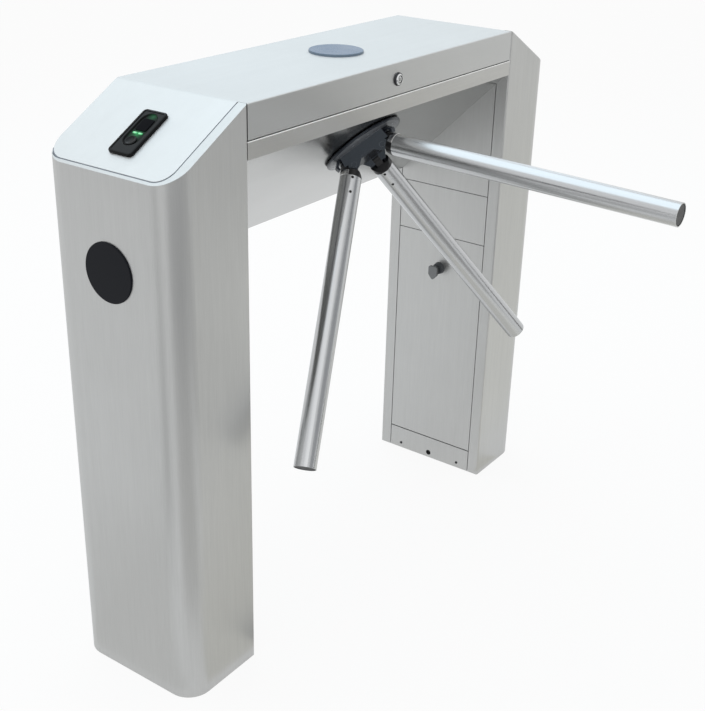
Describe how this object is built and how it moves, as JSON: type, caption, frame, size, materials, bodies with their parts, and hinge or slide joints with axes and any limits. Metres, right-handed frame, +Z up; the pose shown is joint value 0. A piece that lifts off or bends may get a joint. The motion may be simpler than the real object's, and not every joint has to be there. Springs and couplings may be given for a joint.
{
  "type": "tripod turnstile",
  "caption": "Bridge-type tripod turnstile: steel cabinet on legs with a sloped underside, rotating hub with drop arm, hinged lid, tilt-out service doors and readers.",
  "frame": {"origin": "on the floor, at the centre of the floor anchor pattern, midway between the legs", "axes": "+X along the cabinet, +Y away from the lane, +Z up"},
  "size_m": [1.105, 0.7809, 0.984],
  "materials": {
    "brushed_steel": "fine brushed stainless sheet",
    "inner_steel": "zinc plated steel, satin",
    "polished_steel": "polished stainless",
    "hub_black": "black powder coat on a casting",
    "black_plastic": "matt black moulding",
    "black_gloss": "gloss black smoked acrylic",
    "lamp_window": "blue-grey translucent acrylic",
    "grey_zinc": "grey zinc plate",
    "cast_housing": "as cast, machined faces",
    "bush_bronze": "turned bronze",
    "coil_case": "grey enamel",
    "board_green": "lacquered laminate"
  },
  "bodies": {
    "cabinet": {"leg_shell_near": "brushed_steel", "leg_shell_far": "brushed_steel", "leg_frame_near": "inner_steel", "leg_frame_far": "inner_steel", "base_plate_near": "inner_steel", "base_plate_far": "inner_steel", "plinth_near": "brushed_steel", "plinth_far": "brushed_steel", "middle_panel_near": "brushed_steel", "middle_panel_far": "brushed_steel", "upper_panel_near": "brushed_steel", "upper_panel_far": "brushed_steel", "end_window_near": "black_gloss", "end_window_far": "black_gloss", "beam_rail": "brushed_steel", "beam_panel": "brushed_steel", "beam_back": "brushed_steel", "hinge_leaf": "inner_steel", "hinge_pin": "inner_steel", "bearing_housing": "cast_housing", "bush_front": "bush_bronze", "bush_rear": "bush_bronze", "mechanism_plate": "inner_steel", "solenoid": "coil_case", "damper_body": "cast_housing", "sensor_fork": "black_plastic", "control_board": "board_green", "power_supply": "coil_case"},
    "lid": {"lid": "brushed_steel", "lid_hinge_leaf": "inner_steel", "top_window": "lamp_window", "reader_near": "black_gloss", "reader_far": "black_gloss"},
    "lid_lock": {"lid_lock": "polished_steel"},
    "door_near": {"door_near": "brushed_steel", "door_lock_near": "black_plastic"},
    "door_wing_near": {"door_wing_near": "grey_zinc"},
    "door_far": {"door_far": "brushed_steel", "door_lock_far": "black_plastic"},
    "door_wing_far": {"door_wing_far": "grey_zinc"},
    "hub": {"hub": "hub_black", "arm_pin_1": "hub_black", "shaft": "polished_steel", "lock_disc": "grey_zinc", "main_gear": "grey_zinc", "encoder_disc": "grey_zinc", "arm_knuckle_2": "hub_black", "arm_pin_2": "hub_black", "arm_tube_2": "polished_steel", "arm_cap_2": "grey_zinc", "arm_knuckle_3": "hub_black", "arm_pin_3": "hub_black", "arm_tube_3": "polished_steel", "arm_cap_3": "grey_zinc"},
    "arm_1": {"arm_knuckle_1": "hub_black", "arm_tube_1": "polished_steel", "arm_cap_1": "grey_zinc"},
    "damper_pinion": {"damper_pinion": "grey_zinc"},
    "pawl": {"pawl": "grey_zinc"},
    "plunger": {"plunger": "grey_zinc"}
  },
  "joints": [
    {"name": "hub_spin", "type": "hinge", "parent": "cabinet", "child": "hub", "pos_m": [0, -0.0602, 0.8322], "axis": [0, -0.7071, -0.7071], "continuous": true},
    {"name": "arm_1_drop", "type": "hinge", "parent": "hub", "child": "arm_1", "pos_m": [0, -0.11157, 0.84097], "axis": [1, 0, 0], "range_deg": [0, 88]},
    {"name": "damper_spin", "type": "hinge", "parent": "cabinet", "child": "damper_pinion", "pos_m": [0.04525, -0.0282, 0.8002], "axis": [0, -0.7071, -0.7071], "continuous": true},
    {"name": "pawl_turn", "type": "hinge", "parent": "cabinet", "child": "pawl", "pos_m": [-0.052, -0.03333, 0.80533], "axis": [0, 0.7071, 0.7071], "range_deg": [0, 12]},
    {"name": "plunger_slide", "type": "slide", "parent": "cabinet", "child": "plunger", "axis": [-1, 0, 0], "range_m": [0, 0.00461]},
    {"name": "lid_hinge", "type": "hinge", "parent": "cabinet", "child": "lid", "pos_m": [0, 0.134, 0.92525], "axis": [-1, 0, 0], "range_deg": [0, 85]},
    {"name": "lid_lock_turn", "type": "hinge", "parent": "lid", "child": "lid_lock", "pos_m": [0, -0.1292, 0.952], "axis": [0, -1, 0], "range_deg": [0, 90]},
    {"name": "door_near_tilt", "type": "hinge", "parent": "cabinet", "child": "door_near", "pos_m": [-0.3895, 0, 0.0526], "axis": [0, 1, 0], "range_deg": [0, 25]},
    {"name": "door_near_lock_turn", "type": "hinge", "parent": "door_near", "child": "door_wing_near", "pos_m": [-0.388, 0, 0.467], "axis": [1, 0, 0], "range_deg": [0, 90]},
    {"name": "door_far_tilt", "type": "hinge", "parent": "cabinet", "child": "door_far", "pos_m": [0.3895, 0, 0.0526], "axis": [0, -1, 0], "range_deg": [0, 25]},
    {"name": "door_far_lock_turn", "type": "hinge", "parent": "door_far", "child": "door_wing_far", "pos_m": [0.388, 0, 0.467], "axis": [1, 0, 0], "range_deg": [0, 90]}
  ],
  "couplings": [
    {"joint": "damper_spin", "follows": "hub_spin", "ratio": -3},
    {"joint": "plunger_slide", "follows": "pawl_turn", "m_per_rad": 0.022}
  ]
}
